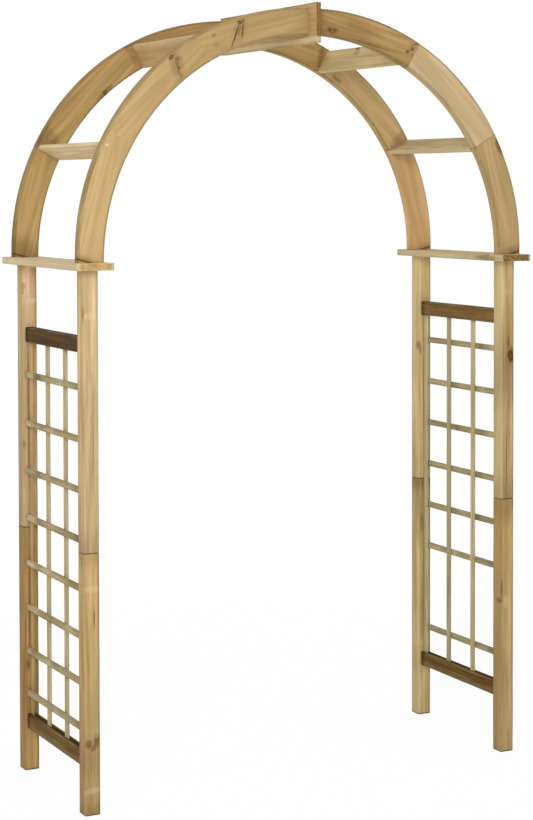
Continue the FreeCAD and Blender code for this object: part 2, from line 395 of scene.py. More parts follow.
def figured_wood(g, start, noise, late, along):
    """Wood with its rings and streaks, the light and dark of its fibres, and a shade from end to end."""
    wood = g.mix(g.product(late, start["Ring Share"]), start["Base"], start["Late"])
    broad_streaks = g.step(noise["broad"], 0.4, 0.7, 0.0, 0.36)
    narrow_streaks = g.step(noise["streak"], 0.44, 0.68, 0.0, 0.4)
    for streaks in (broad_streaks, narrow_streaks):
        wood = g.mix(g.product(streaks, start["Figure"]), wood, start["Late"])

    pale_streaks = g.step(noise["streak"], 0.26, 0.5, 1.12, 1.0)
    shade = g.product(g.varied(noise["fibre"], 0.3), pale_streaks)
    shade = g.product(shade, g.varied(noise["hair"], 0.14))
    shade = g.product(shade, g.varied(noise["cloud"], 0.34))
    shade = g.line(g.calc("SUBTRACT", shade, 1.0), start["Figure"], 1.0)
    share = g.calc("ADD", g.calc("DIVIDE", along, start["Length"]), 0.5)
    change = g.calc("SUBTRACT", start["End Shade"], start["Start Shade"])
    lengthwise = g.line(share, change, start["Start Shade"])
    return g.scaled(wood, g.product(shade, lengthwise))


def weathered_and_shaded_wood(g, start, noise, cut, wood):
    """Wood with greenish patches, edges darkened partly by weathering and partly by painted shade, worn
    edges, sawn ends and stained joints.
    """
    green = g.step(noise["green"], 0.42, 0.7)
    wood = g.mix(g.product(green, start["Green Share"]), wood, start["Green"])
    edge = g.attribute("edge", "Fac")
    # The dark band along the edges is partly weathering and partly painted shade of the rounded edges
    rim = g.product(g.step(edge, 0.1, 1.0), g.step(noise["cloud"], 0.3, 0.66, 0.4, 0.95))
    wood = g.mix(g.product(rim, start["Edge Share"]), wood, start["Edge"])
    worn = g.product(g.step(edge, 0.85, 1.0), g.step(noise["fibre"], 0.4, 0.7, 0.0, 0.25))
    wood = g.mix(worn, wood, colour(WORN_EDGE))
    wood = g.mix(cut, wood, g.mix(1.0, wood, start["Sawn End"], "MULTIPLY"))
    stain = g.product(g.attribute("joint", "Fac"), start["Joint Stain"])
    stain = g.calc("MULTIPLY", stain, g.line(noise["fibre"], 0.6, 0.6), clamp=True)
    return g.mix(stain, wood, colour(JOINT_STAIN))


def spotted_wood(g, start, noise, wood):
    """Wood with its spots and its knots. The dark spots are real smears and cracks, and also painted shade
    and shadows.
    """
    wood = g.mix(start["Pale"], wood, colour(PALE_SPOT))
    wood = g.mix(start["Smudge And Shade"], wood, g.mix(1.0, wood, colour(SMUDGE_AND_SHADE), "MULTIPLY"))
    wood = g.mix(start["Rim"], wood, colour(KNOT_RIM))
    return g.mix(start["Core"], wood, g.mix(noise["fibre"], *map(colour, KNOT_CORE)))


def pine_group():
    """Planed pine with growth rings, streaks, fibres, greenish edges, stained joints and spots."""
    inputs = {
        "Color": ("Base", "Late", "Green", "Edge", "Sawn End"),
        "Vector": ("Pith", "Pith Lean", "Seed"),
        "Float": ("Ring Width", "Ring Share", "Green Share", "Joint Stain", "Start Shade", "End Shade",
                  "Length", "Figure", "Edge Share", "Core", "Rim", "Bend", "Pale", "Smudge And Shade"),
    }
    outputs = {"Color": ("Colour",), "Float": ("Roughness", "Height")}
    tree, g, start, end = new_group("pine", inputs, outputs)

    grain = g.attribute("grain", "Vector")
    place = g.vector("ADD", grain, start["Seed"])
    along = g.node("ShaderNodeSeparateXYZ", Vector=grain).outputs[0]
    cut = g.attribute("cut", "Fac")
    names = ("broad", "streak", "green", "cloud", "fibre", "hair")
    noise = {name: g.pattern(name, place) for name in names}
    late = growth_rings(g, start, grain, along, place)
    wood = figured_wood(g, start, noise, late, along)
    wood = weathered_and_shaded_wood(g, start, noise, cut, wood)
    g.feed(end["Colour"], spotted_wood(g, start, noise, wood))

    rough = g.line(noise["fibre"], 0.2, 0.6)
    g.feed(end["Roughness"], g.line(cut, 0.15, rough))
    height = g.line(late, 0.4, g.product(noise["fibre"], 0.7))
    height = g.line(noise["hair"], 0.25, height)
    g.feed(end["Height"], g.line(start["Core"], 0.6, height))
    return tree


PINE = pine_group()
KNOT = knot_group()
SPOT_OUTPUTS = {"knot": {"Core": "Core", "Rim": "Rim", "Bend": "Bend"}, "pale": {"Core": "Pale"},
                "dark": {"Core": "Smudge And Shade"}, "shade": {"Core": "Smudge And Shade"}}
SOFT_EDGE = 0.2


def add_spots(g, wood, spots):
    """Feeds the spots of a piece into its pine. Where spots of a kind overlap, the deeper one counts."""
    totals = {}
    for spot in spots:
        made = g.node(
            "ShaderNodeGroup", {"node_tree": KNOT}, Centre=spot.centre, Lean=spot.lean, Depth=spot.depth,
            Closeness=[1 / r if r else 0.0 for r in spot.radii],
            Drawn_Out=0.0 if all(spot.radii[:2]) else 1.0,
            Ragged=SOFT_EDGE if spot.kind == "shade" else 1.0)
        for source, target in SPOT_OUTPUTS[spot.kind].items():
            gained = made.outputs[source]
            totals[target] = g.calc("MAXIMUM", totals[target], gained) if target in totals else gained
    for target, total in totals.items():
        g.feed(wood.inputs[target], total)


def pine(name, tone, shades, spots=(), length=1.0, sawn_end=SAWN_END,
         stain=0.3, green=0.5, rings=0.42, edges=1.0, figure=1.0):
    """A pine material of its own for one piece. Its shades are those at its lower and its upper end."""
    dice = random.Random(name)
    base = colour(TONES[tone])
    material, g, shader = new_material(f"pine_{name}")
    wood = g.node("ShaderNodeGroup", {"node_tree": PINE})
    turn = dice.uniform(0, 2 * math.pi)
    reach = dice.uniform(*PITH_REACH)
    settings = {
        "Base": base,
        "Late": tinted(base, LATE_WOOD),
        "Green": tinted(base, GREEN_TINT),
        "Edge": tinted(base, EDGE_WEATHER_AND_SHADE),
        "Sawn End": [*sawn_end, 1.0],
        "Pith": (0.0, reach * math.cos(turn), reach * math.sin(turn)),
        "Pith Lean": (0.0, dice.uniform(-PITH_LEAN, PITH_LEAN), dice.uniform(-PITH_LEAN, PITH_LEAN)),
        "Seed": [dice.uniform(-SEED_REACH, SEED_REACH) for _ in range(3)],
        "Ring Width": dice.uniform(*RING_SPACING),
        "Ring Share": rings,
        "Green Share": green * dice.uniform(*GREEN_RANGE),
        "Joint Stain": stain,
        "Edge Share": edges,
        "Figure": figure,
        "Start Shade": shades[0],
        "End Shade": shades[1],
        "Length": length,
    }
    for key, value in settings.items():
        wood.inputs[key].default_value = value
    add_spots(g, wood, spots)
    bumpy_surface(g, shader, *wood.outputs, PINE_BUMP)
    shader.inputs["Specular IOR Level"].default_value = GLOSS
    return material


def peg_wood(name, tones, fresh=None):
    """Plain hardwood of dowels, tongues and pegs. Those at the lower left may be fresh."""
    material, g, shader = new_material(name)
    place = g.node("ShaderNodeTexCoord").outputs["Object"]
    fibre = g.noise(place, PEG_FIBRE, detail=3.0)
    blotch = g.noise(place, PEG_BLOTCH)
    wood = g.mix(g.step(fibre, 0.3, 0.7), *map(colour, tones))
    wood = g.mix(g.step(blotch, 0.4, 0.8, 0.0, 0.4), wood, colour(PEG_STAIN))
    if fresh:
        side = g.node("ShaderNodeSeparateXYZ", Vector=place).outputs[0]
        share = g.step(side, -FRESH_START * MEAN_RADIUS, -FRESH_FULL * MEAN_RADIUS)
        wood = g.mix(share, wood, colour(fresh))
    bumpy_surface(g, shader, wood, g.line(fibre, 0.2, 0.5), fibre, PEG_BUMP)
    return material


def nail_steel():
    """Dull galvanised steel with a little rust."""
    material, g, shader = new_material("nail_steel")
    place = g.node("ShaderNodeTexCoord").outputs["Object"]
    spangle = g.noise(place, NAIL_SPANGLE, detail=3.0)
    rust = g.step(g.noise(place, RUST_PATCHES), 0.5, 0.72)
    clean = g.mix(spangle, *map(colour, NAIL_TONES))
    g.feed(shader.inputs["Base Color"], g.mix(rust, clean, colour(NAIL_RUST)))
    g.feed(shader.inputs["Roughness"], g.line(spangle, 0.3, 0.35))
    shader.inputs["Metallic"].default_value = NAIL_METAL
    return material


# Meshes of timber. The corners of a section are counted round from the one at +across and +through
LAST_CORNER = 3
FRONT_LEFT_CORNER = 2


def rounded_section(half_across, half_through, radius, groove=None, clean_corner=None, rim_shade_and_wear=0.0):
    """Outline of a section as (across, through, wear), with rounded corners. The wear value gives the band
    along an edge its dark, partly weathering and partly painted shade, and its pale wear. A groove opens
    at +through, and the side at +across has the painted shade of a rim."""
    arcs = []
    for corner in range(4):
        across = (half_across - radius) * (1 if corner in (0, 3) else -1)
        through = (half_through - radius) * (1 if corner in (0, 1) else -1)
        angles = [(corner + step / EDGE_STEPS) * math.pi / 2 for step in range(EDGE_STEPS + 1)]
        arcs.append([
            Vector((across + radius * math.cos(a), through + radius * math.sin(a))) for a in angles])
    outline = []
    for corner, arc in enumerate(arcs):
        first, last = arc[-1], arcs[(corner + 1) % 4][0]
        strip = (last - first).normalized() * min(WEAR_AND_SHADE_BAND, WEAR_AND_SHADE_SHARE * (last - first).length)
        outline += [(p.x, p.y, CLEAN_WEAR if corner == clean_corner else 1.0) for p in arc]
        wear = rim_shade_and_wear if corner == LAST_CORNER else 0.0
        outline.append((*(first + strip), wear))
        if groove and corner == 0:
            half, depth = groove
            for across, down in ((half, 0.0), (half, depth), (-half, depth), (-half, 0.0)):
                outline.append((across, half_through - down, GROOVE_DARK))
        outline.append((*(last - strip), wear))
    return outline


def stations(length, step):
    """Distances along a board, closer at its ends, each with its joint stain and its end easing."""
    inner = length - 2 * JOINT_BAND
    count = max(2, round(inner / step))
    places = [(0.0, 1.0, 1.0), (END_EASE, 1.0, 0.0)]
    places += [(JOINT_BAND + inner * i / count, 0.0, 0.0) for i in range(count + 1)]
    return places + [(length - END_EASE, 1.0, 0.0), (length, 1.0, 1.0)]


def corner_rows(radius, length):
    """Stations for the rounded corners in the plan of a board."""
    turns = [math.pi / 2 * i / CORNER_STEPS for i in range(1, CORNER_STEPS + 1)]
    near = [radius * (1 - math.cos(turn)) for turn in turns]
    near = [a for a in near if a > END_EASE]
    rows = [(a, CORNER_STAIN, 0.0) for a in near]
    return rows + [(length - a, CORNER_STAIN, 0.0) for a in near]


def corner_depth(radius, along, length):
    """How far the sides of a board draw in at its rounded corners."""
    beyond = radius - min(along, length - along)
    if beyond <= 0:
        return 0.0
    return radius - math.sqrt(max(radius ** 2 - beyond ** 2, 0.0))


def inward(value, depth):
    """A signed distance from the middle of a section, drawn in by a depth."""
    return math.copysign(max(abs(value) - depth, 0.0), value)


def tube_faces(rows, size, base=0):
    """Faces of a closed tube of rows of points, its two ends last. base numbers its first point."""
    faces = []
    for row in range(rows - 1):
        for i in range(size):
            a = base + row * size + i
            b = base + row * size + (i + 1) % size
            faces.append((a, b, b + size, a + size))
    top = base + (rows - 1) * size
    return faces + [tuple(reversed(range(base, base + size))), tuple(range(top, top + size))]


def new_object(name, data):
    """A new object in the scene."""
    obj = bpy.data.objects.new(name, data)
    bpy.context.scene.collection.objects.link(obj)
    return obj


def finish_mesh(mesh, sharp_angle):
    """Turns all faces outwards and shades them smooth, except over sharp edges."""
    work = bmesh.new()
    work.from_mesh(mesh)
    bmesh.ops.recalc_face_normals(work, faces=work.faces)
    work.to_mesh(mesh)
    work.free()
    mesh.shade_smooth()
    mesh.set_sharp_from_angle(angle=sharp_angle)


def mesh_piece(name, points, faces, grains, edges, joints):
    """A closed mesh with its grain, edge and joint attributes. Its last two faces are the sawn ends."""
    mesh = bpy.data.meshes.new(name)
    mesh.from_pydata(points, [], faces)
    flat_grains = [c for v in grains for c in v]
    mesh.attributes.new("grain", "FLOAT_VECTOR", "POINT").data.foreach_set("vector", flat_grains)
    cuts = [0.0] * (len(faces) - 2) + [1.0, 1.0]
    for key, part, values in (("edge", "POINT", edges), ("joint", "POINT", joints), ("cut", "FACE", cuts)):
        mesh.attributes.new(key, "FLOAT", part).data.foreach_set("value", values)
    finish_mesh(mesh, BOARD_SHARP)
    return new_object(name, mesh)


def skin(name, outline, length, step, place, grain, corner=None, end_ease=END_EASE):
    """Carries an outline along a board. place and grain turn (along, across, through) into points."""
    dice = random.Random(name + " wave")
    phases = [dice.uniform(0, 2 * math.pi) for _ in range(2)]
    points, grains, edges, joints = [], [], [], []
    rows = stations(length, step)
    if corner:
        rows = sorted(rows + corner_rows(corner, length))
    for along, joint, ease in rows:
        turn = 2 * math.pi * along / WAVE_LENGTH
        waves = [WAVE_DEPTH * (0.5 + 0.5 * math.sin(turn + phase)) for phase in phases]
        drawn = [end_ease * ease + w for w in waves]
        if corner:
            drawn[0] += corner_depth(corner, along, length)
        for across, through, wear in outline:
            spot = (along, inward(across, drawn[0]), inward(through, drawn[1]))
            points.append(place(*spot))
            grains.append(grain(*spot))
            edges.append(wear)
            joints.append(joint)
    faces = tube_faces(len(rows), len(outline))
    return mesh_piece(name, points, faces, grains, edges, joints)


def dress(obj, node, material):
    """Gives a piece its material, and puts it in the place of a node of the frame."""
    obj.data.materials.append(material)
    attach(obj, "root")
    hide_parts(node)


def board(node, axes, radius, material, groove=None, corner=None, clean_corner=None):
    """A straight board in the place of a node. axes are its directions along, across and through.
    corner is the radius of the corners of its plan."""
    (low, high), *sides = spans(node, axes)
    middles = [(a + b) / 2 for a, b in sides]
    halves = [(b - a) / 2 - SKIN_GAP for a, b in sides]
    start = axes[0] * (low + END_GAP) + axes[1] * middles[0] + axes[2] * middles[1]
    length = high - low - 2 * END_GAP
    outline = rounded_section(*halves, radius, groove, clean_corner)

    def place(along, across, through):
        return start + axes[0] * along + axes[1] * across + axes[2] * through

    def grain(along, across, through):
        return Vector((along - length / 2, across, through))

    obj = skin("wood_" + node, outline, length, STATION_STEP, place, grain, corner)
    dress(obj, node, material)


def ring_segment(node, low, high, material):
    """A curved board of a ring, sawn from straight timber. With no high it ends at the ridge board."""
    side = 1 if "right" in node else -1
    y_low, y_high = (c.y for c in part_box(node))
    half_through = (y_high - y_low) / 2 - SKIN_GAP
    half_across = RING_WIDTH / 2 - SKIN_GAP
    length = MEAN_RADIUS * math.radians((high or RING_TOP) - low)
    middle = math.radians((low + (high or RING_TOP)) / 2)

    def place(along, across, through):
        rough_angle = math.radians(low) + along / MEAN_RADIUS
        outwards = (across / half_across + 1) / 2
        radius = MEAN_RADIUS + across + outwards * RING_SWELL * math.sin(2 * rough_angle)
        first = math.radians(low) + TIGHT_GAP / radius
        if high:
            last = math.radians(high) - TIGHT_GAP / radius
        else:
            last = math.acos((RIDGE_HALF + END_GAP) / radius)
        angle = first + (last - first) * along / length
        return Vector((side * radius * math.cos(angle), (y_low + y_high) / 2 + through,
                       SPRING_Z + radius * math.sin(angle)))

    def grain(along, across, through):
        spot = place(along, across, through)
        reach = Vector((side * spot.x, spot.z - SPRING_Z))
        outward = Vector((math.cos(middle), math.sin(middle)))
        onward = Vector((-math.sin(middle), math.cos(middle)))
        return Vector((reach.dot(onward), reach.dot(outward) - MEAN_RADIUS, through))

    # The outer rim face of a left ring gets painted shade
    rim_shade_and_wear = RIM_SHADE_AND_WEAR[node.split("_")[1]] if side < 0 else 0.0
    outline = rounded_section(half_across, half_through, RING_RADIUS, rim_shade_and_wear=rim_shade_and_wear)
    obj = skin("wood_" + node, outline, length, ARC_STEP, place, grain, end_ease=TIGHT_EASE)
    dress(obj, node, material)


# Knots, pale and dark spots of the pieces, in metres from the middle of a piece
# Some dark spots are painted shade and shadows, and some pale ones are painted light
class Spot(NamedTuple):
    """A spot in a piece. Centre and radii run along, across and through it. A radius of 0 has no limit.
    A leaning spot moves along the piece as it runs across it."""
    kind: str
    centre: tuple
    radii: tuple
    depth: float
    lean: float = 0.0


# What chance may give to a knot, and what several spots share
KNOT_COUNTS = (0, 1, 1, 2)
KNOT_SPAN = 0.42
KNOT_SIZES = (0.003, 0.006)
KNOT_STRETCHES = (1.2, 2.2)
KNOT_DEPTHS = (0.25, 0.6)
FRONT_REACH = 0.008
# Depth of the painted shade at the feet of the rings and the posts, and its reach on a post
FOOT_LINE_DEPTH = 0.85
POST_FOOT_LINE = 0.006
# Reach and depth of the painted shadows of the ring feet on the caps
CAP_SHADOW = (0.02, 0.05, 0.5 * CAP_HALF)
CAP_SHADOW_DEPTH = 0.6


def knot(along, across, size, stretch, depth):
    """A knot that runs from face to face of a board."""
    return Spot("knot", (along, across, 0.0), (size * stretch, size, 0.0), depth)


def post_knot(along, across, size, stretch, depth=1.0):
    """A knot on the front of a post."""
    return Spot("knot", (along, across, -POST_HALF), (size * stretch, size, size), depth)


def pale_band(along, height, depth, lean=0.0):
    """A pale band across the front of a post."""
    return Spot("pale", (along, 0.0, -POST_HALF), (height, 1.4 * POST_HALF, 0.5 * POST_HALF), depth, lean)


def streak(along, across, reach, width, depth, lean=0.0, kind="dark"):
    """A long streak or crack along the front of a post."""
    return Spot(kind, (along, across, -POST_HALF), (reach, width, FRONT_REACH), depth, lean)


def crack(along, across, reach, width, depth, lean=0.0):
    """A dark crack or smear that runs from face to face of a board."""
    return Spot("dark", (along, across, 0.0), (reach, width, 0.0), depth, lean)


def shading(along, across, reach, width, depth, lean=0.0):
    """A dark spot with a soft edge that runs from face to face of a board. It serves both for marks of the
    wood and for painted shade.
    """
    return Spot("shade", (along, across, 0.0), (reach, width, 0.0), depth, lean)


def low_end_shade(reach, depth):
    """Painted shade at the lower end of a ring's board, where it stands on its cap or just above a rung,
    with a soft edge.
    """
    return shading(-SEGMENT_HALF, 0.0, reach, RING_WIDTH, depth)


def flank(kind, across, depth, reach):
    """One long side of a piece, paler or darker than the rest."""
    return Spot(kind, (0.0, across, 0.0), (0.0, reach, 0.0), depth)


def zone(along, reach, depth, kind="dark"):
    """A stretch of a piece, darker or paler all round."""
    return Spot(kind, (along, 0.0, 0.0), (reach, 0.0, 0.0), depth)


def cap_shadow(along):
    """A painted shadow of a ring's foot on the top of a cap."""
    return Spot("dark", (along, 0.0, CAP_HALF), CAP_SHADOW, CAP_SHADOW_DEPTH)


def chance_knots(node, length, width):
    """A few small knots by chance."""
    dice = random.Random(node + " knots")
    made = []
    for _ in range(dice.choice(KNOT_COUNTS)):
        size = dice.uniform(*KNOT_SIZES)
        along = dice.uniform(-KNOT_SPAN, KNOT_SPAN) * length
        across = dice.uniform(-0.5, 0.5) * width
        through = dice.choice((-0.5, 0.5)) * width
        radii = (size * dice.uniform(*KNOT_STRETCHES), size, size)
        made.append(Spot("knot", (along, across, through), radii, dice.uniform(*KNOT_DEPTHS)))
    return made


# A thin band of painted shade at the foot of each ring, where it stands on its cap
FOOT_LINE = low_end_shade(0.005, FOOT_LINE_DEPTH)
RAIL_DARK_END = zone(size_of("rail_left_top", "y") / 2, 0.03, 0.6)
RAIL_PALE_EDGE = Spot("pale", (0.0, -RAIL_HALF_WIDTH, -RAIL_HALF_HEIGHT), (0.0, 0.012, 0.024), 0.1)
SPOTS = {
    "ring_front_left_foot": [low_end_shade(0.016, 0.35), FOOT_LINE],
    "ring_front_left_shoulder": [
        knot(0.087, 0.03, 0.0044, 1.5, 0.85), knot(0.1, 0.014, 0.004, 1.0, 0.45),
        knot(0.083, -0.006, 0.004, 0.6, 0.5), knot(0.074, -0.024, 0.004, 0.7, 0.45),
        crack(0.084, 0.0, 0.01, 0.042, 0.55, 0.6), crack(0.085, 0.004, 0.03, 0.05, 0.3, 0.5)],
    "ring_front_left_crown": [
        crack(-0.065, -0.003, 0.0048, 0.042, 0.85, 0.7), crack(-0.043, 0.0, 0.0042, 0.028, 0.8, 0.4),
        crack(-0.053, 0.002, 0.0032, 0.022, 0.6, 0.55), crack(-0.036, 0.025, 0.01, 0.008, 0.65),
        shading(-0.052, 0.004, 0.028, 0.036, 0.22, 0.5), crack(-0.046, 0.024, 0.012, 0.009, 0.8),
        knot(-0.132, 0.009, 0.004, 1.2, 0.35), crack(-0.13, -0.018, 0.012, 0.008, 0.25)],
    "ring_front_right_foot": [
        crack(0.15, 0.024, 0.034, 0.015, 0.6), knot(0.162, 0.027, 0.006, 1.3, 0.6),
        knot(0.139, 0.028, 0.006, 1.6, 0.65), low_end_shade(0.025, 0.35), FOOT_LINE],
    "ring_front_right_crown": [
        crack(0.1, -0.027, 0.026, 0.013, 0.5), crack(0.109, -0.027, 0.009, 0.007, 0.8),
        crack(0.093, -0.025, 0.009, 0.006, 0.75), shading(0.009, 0.004, 0.08, 0.03, 0.34),
        crack(-0.163, 0.0, 0.014, 0.026, 0.3, -0.4), knot(-0.15, -0.014, 0.004, 1.2, 0.7),
        knot(-0.158, 0.01, 0.004, 1.2, 0.65), knot(-0.164, -0.003, 0.004, 1.2, 0.7),
        knot(-0.167, -0.018, 0.0028, 1.2, 0.6), knot(-0.173, 0.014, 0.003, 1.2, 0.6),
        crack(-0.03, -0.03, 0.1, 0.0022, 0.6)],
    "ring_rear_left_foot": [
        # The soft dark at the upper end of this foot is painted shade above the lower rung
        low_end_shade(0.07, 0.4), FOOT_LINE, shading(SEGMENT_HALF, 0.0, 0.04, RING_WIDTH, 0.4)],
    "ring_rear_left_shoulder": [
        knot(0.043, -0.03, 0.005, 1.2, 0.8), crack(0.045, -0.03, 0.042, 0.009, 0.5),
        low_end_shade(0.025, 0.3)],
    "ring_rear_left_crown": chance_knots("ring_rear_left_crown", SEGMENT_LENGTH, RING_WIDTH / 2),
    "ring_rear_right_foot": [low_end_shade(0.02, 0.3), FOOT_LINE],
    "ring_rear_right_shoulder": [
        crack(0.13, -0.034, 0.02, 0.008, 0.5), crack(0.115, -0.03, 0.011, 0.005, 0.5),
        low_end_shade(0.03, 0.35)],
    "ring_rear_right_crown": [crack(-0.135, 0.0, 0.012, 0.05, 0.4)],
    "rung_left_upper": [flank("pale", RUNG_HALF, 0.35, 0.022)],
    "rung_right_lower": [
        crack(-0.02, -0.022, 0.05, 0.003, 0.65), crack(-0.2, -0.018, 0.05, 0.0035, 0.6),
        crack(0.12, -0.027, 0.07, 0.003, 0.55), crack(0.22, 0.0, 0.025, 0.04, 0.3),
        flank("pale", -RUNG_HALF, 0.35, 0.008)],
    "rung_right_upper": [
        crack(0.04, 0.033, 0.016, 0.009, 0.8), crack(0.034, 0.018, 0.022, 0.012, 0.4),
        crack(-0.02, 0.0, 0.12, 0.003, 0.2)],
    "ridge_board": [flank("pale", -0.047, 0.65, 0.011)],
    "cap_left": [cap_shadow(-POST_PLACE), cap_shadow(POST_PLACE)],
    "cap_right": [
        cap_shadow(-POST_PLACE), cap_shadow(POST_PLACE), zone(-CAP_HALF_LENGTH - 0.01, 0.014, 0.6),
        Spot("dark", (-0.222, -CAP_HALF_WIDTH, 0.0), (0.07, 0.02, 0.011), 0.6)],
    "post_front_left_upper": [
        pale_band(0.257, 0.012, 0.42), streak(0.0, 0.019, 0.55, 0.006, 0.4, kind="pale"),
        streak(0.262, -0.0235, 0.034, 0.005, 0.75), streak(-0.1, 0.006, 0.14, 0.003, 0.3),
        zone(-LONG_POST_HALF, 0.07, 0.22), zone(0.0, 0.09, 0.12)],
    "post_front_left_lower": [
        pale_band(0.258, 0.011, 0.32), pale_band(-0.286, 0.011, 0.28, 0.12),
        streak(0.18, 0.006, 0.04, 0.0022, 0.85), zone(SHORT_POST_HALF, 0.05, 0.22),
        streak(-0.16, -0.011, 0.018, 0.015, 0.6), streak(-0.156, 0.011, 0.026, 0.014, 0.66, 0.4),
        streak(-0.172, 0.001, 0.014, 0.012, 0.58), post_knot(-0.163, -0.009, 0.004, 0.9, 0.35),
        zone(-0.2, 0.06, 0.2), zone(-0.36, 0.05, 0.3)],
    "post_front_right_upper": [
        zone(0.3, 0.09, 0.16, "pale"), pale_band(0.262, 0.01, 0.3),
        # The pale left face of this post is partly paler wood and partly painted light
        flank("pale", -POST_HALF, 0.4, 0.006), streak(-0.16, 0.013, 0.24, 0.007, 0.4, kind="pale"),
        streak(-0.23, -0.004, 0.12, 0.0018, 0.7), streak(0.073, 0.01, 0.034, 0.015, 0.85),
        streak(0.11, 0.002, 0.024, 0.005, 0.6, 0.6), post_knot(0.071, 0.01, 0.008, 1.5),
        zone(-SHORT_POST_HALF, 0.09, 0.2), zone(0.01, 0.12, 0.28)],
    "post_front_right_lower": [
        zone(LONG_POST_HALF, 0.1, 0.4), streak(0.07, -0.006, 0.026, 0.011, 0.3, kind="pale"),
        streak(0.108, -0.02, 0.042, 0.0045, 0.65),
        Spot("dark", (0.075, -POST_HALF, -0.012), (0.014, 0.01, 0.018), 0.65),
        flank("dark", -POST_HALF, 0.16, 0.006)],
    "post_rear_left_upper": [
        post_knot(0.316, -0.019, 0.005, 1.6, 0.4), post_knot(0.3, -0.022, 0.004, 1.4, 0.4),
        pale_band(0.274, 0.012, 0.45), streak(-0.05, -0.006, 0.3, 0.003, 0.6),
        streak(-0.14, -0.022, 0.02, 0.01, 0.5), flank("dark", -POST_HALF, 0.15, 0.006)],
    "post_rear_left_lower": [
        post_knot(-0.046, -0.012, 0.005, 1.6, 0.4), streak(-0.046, -0.012, 0.03, 0.01, 0.4),
        streak(0.12, -0.006, 0.2, 0.003, 0.5), zone(-0.14, 0.1, 0.25),
        flank("dark", -POST_HALF, 0.3, 0.008), streak(0.06, -0.018, 0.1, 0.003, 0.45),
        streak(-0.2, -0.014, 0.12, 0.004, 0.3)],
    "post_rear_right_upper": [
        Spot("dark", (0.072, -0.022, -0.016), (0.018, 0.011, 0.014), 0.6),
        Spot("dark", (0.056, -0.016, -POST_HALF), (0.02, 0.006, 0.01), 0.5),
        Spot("dark", (0.08, 0.004, -POST_HALF), (0.012, 0.008, 0.006), 0.45),
        streak(-0.05, -0.006, 0.3, 0.0025, 0.5)],
    "post_rear_right_lower": [
        zone(LONG_POST_HALF, 0.06, 0.55), zone(LONG_POST_HALF, 0.15, 0.25),
        Spot("dark", (0.24, -0.008, -POST_HALF), (0.04, 0.012, 0.03), 0.4),
        streak(0.05, -0.006, 0.3, 0.0025, 0.4),
        # The pale stretch on the left face is partly paler wood and partly painted light
        Spot("pale", (-0.22, -POST_HALF, 0.0), (0.3, 0.01, 0.0), 0.3), zone(-0.2, 0.05, 0.15)],
}

# Weathering of the cross laths, and how far chance may change it
LATH_PATCHES = (("dark", 0.4), ("pale", 0.35), ("dark", 0.3), ("pale", 0.25))
PATCH_REACH = (0.012, 0.05)
PATCH_RANGE = (0.5, 1.1)


def lath_patches(node, length):
    """Paler and darker stretches of a cross lath."""
    dice = random.Random(node + " patches")
    made = []
    for kind, depth in LATH_PATCHES:
        along = dice.uniform(-0.5, 0.5) * length
        reach = dice.uniform(*PATCH_REACH)
        made.append(zone(along, reach, depth * dice.uniform(*PATCH_RANGE), kind))
    return made


# Tone of each piece with its shade, or with its shade at the lower and at the upper end
# Most posts grow darker towards the ground, partly in the tone of the wood and partly as painted falloff
# of light
POST_TONES = {
    "front_left_upper": ("pale", 0.81, 1.09), "front_left_lower": ("tan", 0.68, 1.05),
    "rear_left_upper": ("honey", 0.82, 1.18), "rear_left_lower": ("olive", 1.0, 1.0),
    "front_right_upper": ("tan", 0.71, 0.98), "front_right_lower": ("tan", 0.73, 1.08),
    "rear_right_upper": ("wheat", 0.88, 1.2), "rear_right_lower": ("straw", 0.92, 1.0),
}
RING_TONES = {
    "front_left_foot": ("tan", 1.02, 0.92), "front_left_shoulder": ("tan", 0.93, 0.82),
    "front_left_crown": ("tan", 0.86, 0.78),
    "front_right_foot": ("tan", 0.84, 0.84), "front_right_shoulder": ("pale", 0.9, 0.9),
    "front_right_crown": ("hazel", 1.17, 1.08),
    "rear_left_foot": ("olive", 0.99, 0.99), "rear_left_shoulder": ("olive", 1.0, 1.0),
    "rear_left_crown": ("brown", 1.0, 1.0),
    "rear_right_foot": ("pink", 1.09, 1.09), "rear_right_shoulder": ("tan", 0.95, 0.95),
    "rear_right_crown": ("olive", 1.23, 1.23),
}
RUNG_TONES = {
    # The raised shade of the lower left rung, seen from below, is partly pale wood and partly painted
    # light on its underside
    "left_lower": ("cream", 1.22), "left_upper": ("tan", 1.0),
    "right_lower": ("grey", 1.02), "right_upper": ("sand", 1.255),
}
RAIL_TONES = {
    "left_top": ("rail", 1.0), "right_top": ("umber", 1.28),
    "left_bottom": ("bark", 0.8), "right_bottom": ("bark", 0.84),
}
CAP_TONES = {"left": ("ivory", 1.15), "right": ("cream", 0.98)}
CAP_ENDS = {"left": (0.87, 0.71, 0.46), "right": (0.56, 0.44, 0.26)}
RIDGE_TONE = ("tan", 0.93)
RIDGE_END = (0.84, 0.66, 0.40)
UPRIGHT_TONES = {"upright_left_4": ("tan", 0.75, 1.08), "upright_right_3": ("lath", 0.76, 0.96)}
UPRIGHT_SHADES = {"left": 1.32, "right": 1.0}
CROSS_SHADES = {"left": 1.1, "right": 0.95}
LATH_RANGE = (0.92, 1.08)

